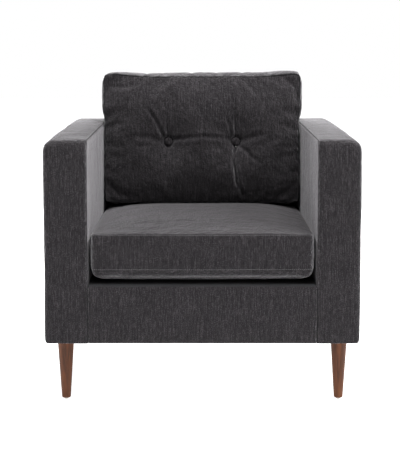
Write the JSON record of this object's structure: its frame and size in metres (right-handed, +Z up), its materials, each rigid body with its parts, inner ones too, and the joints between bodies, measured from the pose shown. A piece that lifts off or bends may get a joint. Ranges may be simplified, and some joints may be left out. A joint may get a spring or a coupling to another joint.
{
  "type": "upholstered armchair",
  "caption": "Box-arm upholstered armchair with a loose seat cushion, a loose button-tufted back cushion and round tapered wooden legs.",
  "frame": {"origin": "on the floor, under the centre of the chair's outline, with the four leg glides at height 0", "axes": "+X to the right of a person looking at the chair's front, +Y from the front to the back, +Z up"},
  "size_m": [0.8, 0.808, 0.8162],
  "materials": {
    "upholstery": "matte",
    "deck_fabric": "matte",
    "dust_fabric": "matte",
    "foam": "matte",
    "fibre_fill": "matte",
    "felt": "matte",
    "webbing": "matte",
    "fibreboard": "matte",
    "spring_steel": "satin",
    "zinc_steel": "satin",
    "walnut_wood": "satin",
    "frame_wood": "matte",
    "clear_plastic": "satin",
    "zip_metal": "satin"
  },
  "bodies": {
    "frame": {"arm_base_rail_left": "frame_wood", "arm_base_rail_right": "frame_wood", "arm_bolt_nuts": "zinc_steel", "arm_bolts": "zinc_steel", "arm_cover_left": "upholstery", "arm_cover_right": "upholstery", "arm_foam_left": "foam", "arm_foam_right": "foam", "arm_front_post_left": "frame_wood", "arm_front_post_right": "frame_wood", "arm_inner_panel_left": "fibreboard", "arm_inner_panel_right": "fibreboard", "arm_outer_panel_left": "fibreboard", "arm_outer_panel_right": "fibreboard", "arm_rear_post_left": "frame_wood", "arm_rear_post_right": "frame_wood", "arm_tie_rail_left": "frame_wood", "arm_tie_rail_right": "frame_wood", "arm_top_rail_left": "frame_wood", "arm_top_rail_right": "frame_wood", "back_foam": "foam", "back_lower_rail": "frame_wood", "back_post_left": "frame_wood", "back_post_right": "frame_wood", "back_top_rail": "frame_wood", "back_webbing": "webbing", "deck_cloth": "deck_fabric", "deck_pad": "felt", "dust_cover": "dust_fabric", "front_border_cover": "upholstery", "front_border_foam": "foam", "inside_back_cover": "upholstery", "leg_front_left": "walnut_wood", "leg_front_right": "walnut_wood", "leg_glides": "clear_plastic", "leg_hanger_bolts": "zinc_steel", "leg_inserts": "zinc_steel", "leg_rear_left": "walnut_wood", "leg_rear_right": "walnut_wood", "outside_back_board": "fibreboard", "outside_back_cover": "upholstery", "seat_corner_blocks": "frame_wood", "seat_front_rail": "frame_wood", "seat_rear_rail": "frame_wood", "seat_side_rail_left": "frame_wood", "seat_side_rail_right": "frame_wood", "seat_springs": "spring_steel", "spring_clips": "spring_steel"},
    "seat_cushion": {"seat_cushion_cover": "upholstery", "seat_cushion_fibre": "fibre_fill", "seat_cushion_foam": "foam", "seat_zip_tape": "webbing"},
    "seat_slider": {"seat_zip_slider": "zip_metal"},
    "back_cushion": {"back_cushion_cover": "upholstery", "back_cushion_fill": "fibre_fill", "back_front_buttons": "upholstery", "back_rear_buttons": "upholstery", "back_button_twines": "webbing", "back_zip_tape": "webbing"},
    "back_slider": {"back_zip_slider": "zip_metal"}
  },
  "joints": [
    {"name": "seat_cushion_pull", "type": "slide", "parent": "frame", "child": "seat_cushion", "axis": [0, -1, 0], "range_m": [0, 0.69]},
    {"name": "back_cushion_lift", "type": "slide", "parent": "frame", "child": "back_cushion", "axis": [0, 0, 1], "range_m": [0, 0.45]},
    {"name": "seat_zip_run", "type": "slide", "parent": "seat_cushion", "child": "seat_slider", "axis": [-1, 0, 0], "range_m": [0, 0.48]},
    {"name": "back_zip_run", "type": "slide", "parent": "back_cushion", "child": "back_slider", "axis": [-1, 0, 0], "range_m": [0, 0.47]}
  ]
}
